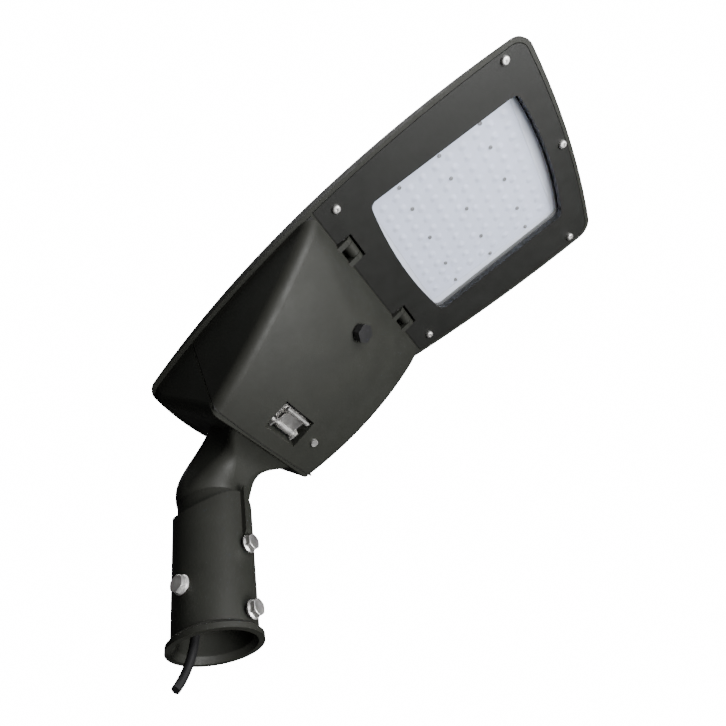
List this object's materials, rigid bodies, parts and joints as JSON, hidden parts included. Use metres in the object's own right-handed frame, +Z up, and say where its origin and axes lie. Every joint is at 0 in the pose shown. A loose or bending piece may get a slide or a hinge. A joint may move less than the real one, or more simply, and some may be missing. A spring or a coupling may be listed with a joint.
{
  "type": "led street light head",
  "caption": "Flat die-cast street light head with cooling slots, glazed LED window, hinged gear door and a tilting neck on a clamped pole sleeve.",
  "frame": {"origin": "centre of the pole sleeve's mouth, where the pole top enters", "axes": "+Z up along the pole, +X the way the head reaches out, +Y across the head"},
  "size_m": [0.5123, 0.2544, 0.3917],
  "materials": {
    "housing": "satin olive-grey powder coat",
    "frame": "satin olive-grey powder coat",
    "steel": "plain stainless steel",
    "zinc": "zinc-plated steel",
    "seal": "black silicone rubber",
    "glass": "clear toughened glass",
    "lens": "clear acrylic over a white board",
    "bezel": "white plastic",
    "board": "white solder mask on aluminium",
    "chip": "yellow phosphor",
    "pad": "grey thermal silicone",
    "tray": "galvanised sheet",
    "driver": "light grey case",
    "block": "natural nylon",
    "black": "black plastic",
    "cable": "black rubber sheath",
    "wire": "red single wire"
  },
  "bodies": {
    "spigot": {"spigot_sleeve": "housing", "clamp_bolts": "steel", "tilt_bolt": "steel", "tilt_washer": "steel", "tilt_nut": "steel", "cable_grommet": "seal", "supply_cable": "cable"},
    "head": {"housing": "housing", "door_gasket": "seal", "latch_keeper": "steel", "keeper_screws": "steel", "glass_frame": "frame", "frame_screws": "steel", "glass_gasket": "seal", "glass": "glass", "bezel": "bezel", "lens_plate": "lens", "lens_screws": "steel", "led_board": "board", "led_chips": "chip", "thermal_pad": "pad", "gear_tray": "tray", "tray_screws": "zinc", "driver": "driver", "driver_screws": "zinc", "terminal_block": "block", "terminal_screws": "zinc", "surge_protector": "driver", "surge_screws": "zinc", "cable_clamp": "black", "clamp_screws": "zinc", "wire_grommet": "seal", "led_wires": "wire", "mains_leads": "cable"},
    "door_leaf": {"door": "housing", "hinge_pins": "steel", "latch_spring": "steel", "latch_pin": "steel", "latch_bracket": "steel", "bracket_rivets": "steel", "breather_plug": "black", "breather_nut": "black", "door_screw": "steel", "door_nut": "steel"},
    "latch": {"latch_lever": "steel"}
  },
  "joints": [
    {"name": "head_tilt", "type": "hinge", "parent": "spigot", "child": "head", "pos_m": [0, 0, 0.163], "axis": [0, 1, 0], "range_deg": [-10, 10], "deforming": ["supply_cable"]},
    {"name": "door_hinge", "type": "hinge", "parent": "head", "child": "door_leaf", "pos_m": [0.23279, 0, 0.29056], "axis": [0, -1, 0], "range_deg": [0, 90]},
    {"name": "latch_pivot", "type": "hinge", "parent": "door_leaf", "child": "latch", "pos_m": [0.09113, 0, 0.17826], "axis": [0, 1, 0], "range_deg": [0, 25], "stiffness_Nm_per_rad": 0.3, "springref_deg": -11.46}
  ]
}
